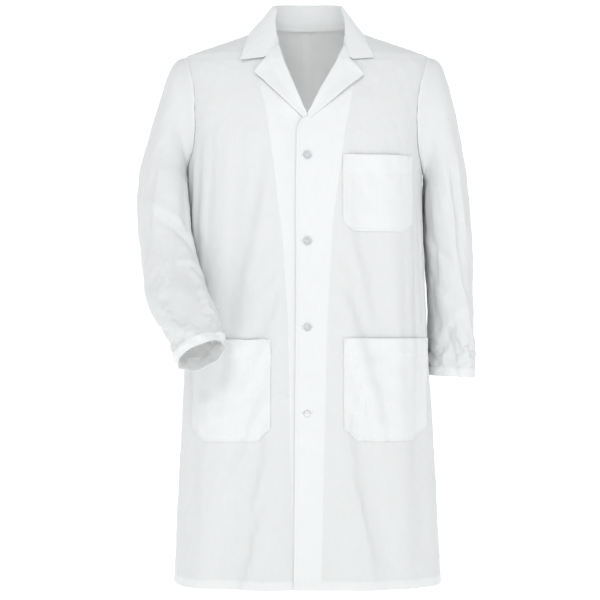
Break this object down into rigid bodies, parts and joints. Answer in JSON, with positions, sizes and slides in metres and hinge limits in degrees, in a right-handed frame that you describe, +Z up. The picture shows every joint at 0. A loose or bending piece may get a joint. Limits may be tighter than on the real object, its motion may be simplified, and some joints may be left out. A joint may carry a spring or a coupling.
{
  "type": "lab coat",
  "caption": "Knee-length white lab coat: notched lapels, buttoned front, patch pockets, set-in long sleeves, one sleeve bent; fronts, shoulders and elbows move.",
  "frame": {"origin": "middle of the back neck seam, where a hanger or the wearer's neck holds the coat", "axes": "+Z up along the back, the front faces -Y, +X is the wearer's left side"},
  "size_m": [0.646, 0.3826, 1.099],
  "materials": {
    "twill": "matte",
    "interlining": "matte",
    "binding": "matte",
    "thread": "matte",
    "button": "gloss"
  },
  "bodies": {
    "root": {"back_left": "twill", "back_right": "twill", "vent_underlap": "twill", "front_left": "twill", "front_right": "twill", "lapel_left": "twill", "lapel_right": "twill", "upper_collar": "twill", "collar_interlining": "interlining", "under_collar": "twill", "neck_binding": "binding", "hem_back_left": "twill", "hem_back_right": "twill", "hem_front_left": "twill", "hem_front_right": "twill", "chest_pocket": "twill", "chest_pocket_hem": "twill", "chest_pocket_tacks": "thread", "lower_pocket_left": "twill", "lower_pocket_left_hem": "twill", "lower_pocket_left_tacks": "thread", "lower_pocket_right": "twill", "lower_pocket_right_hem": "twill", "lower_pocket_right_tacks": "thread"},
    "front_edge_left": {"front_edge_left": "twill", "facing_left": "twill", "buttonhole_1": "thread", "buttonhole_2": "thread", "buttonhole_3": "thread", "buttonhole_4": "thread"},
    "front_edge_right": {"front_edge_right": "twill", "facing_right": "twill", "button_1": "button", "button_2": "button", "button_3": "button", "button_4": "button", "button_thread_1": "thread", "button_thread_2": "thread", "button_thread_3": "thread", "button_thread_4": "thread"},
    "sleeve_left": {"sleeve_left_upper": "twill"},
    "forearm_left": {"sleeve_left_lower": "twill", "sleeve_left_hem": "twill"},
    "sleeve_right": {"sleeve_right_upper": "twill"},
    "forearm_right": {"sleeve_right_lower": "twill", "sleeve_right_hem": "twill"}
  },
  "joints": [
    {"name": "front_open_left", "type": "hinge", "parent": "root", "child": "front_edge_left", "pos_m": [0.058, -0.12568, -0.338], "axis": [0, 0.0195, 0.9998], "range_deg": [0, 110]},
    {"name": "front_open_right", "type": "hinge", "parent": "root", "child": "front_edge_right", "pos_m": [-0.058, -0.12568, -0.338], "axis": [0, 0.0195, 0.9998], "range_deg": [-49.5, 0]},
    {"name": "shoulder_left", "type": "hinge", "parent": "root", "child": "sleeve_left", "pos_m": [0.232, 0.008, -0.082], "axis": [0, -1, 0], "range_deg": [0, 60]},
    {"name": "elbow_left", "type": "hinge", "parent": "sleeve_left", "child": "forearm_left", "pos_m": [0.27, -0.046, -0.4205], "axis": [-1, 0, 0], "range_deg": [0, 90]},
    {"name": "shoulder_right", "type": "hinge", "parent": "root", "child": "sleeve_right", "pos_m": [-0.232, 0.008, -0.082], "axis": [0, 1, 0], "range_deg": [0, 60]},
    {"name": "elbow_right", "type": "hinge", "parent": "sleeve_right", "child": "forearm_right", "pos_m": [-0.25355, -0.08562, -0.404], "axis": [-0.8774, -0.4798, 0], "range_deg": [-12, 50]}
  ],
  "couplings": [
    {"joint": "front_open_right", "follows": "front_open_left", "ratio": -0.45}
  ]
}
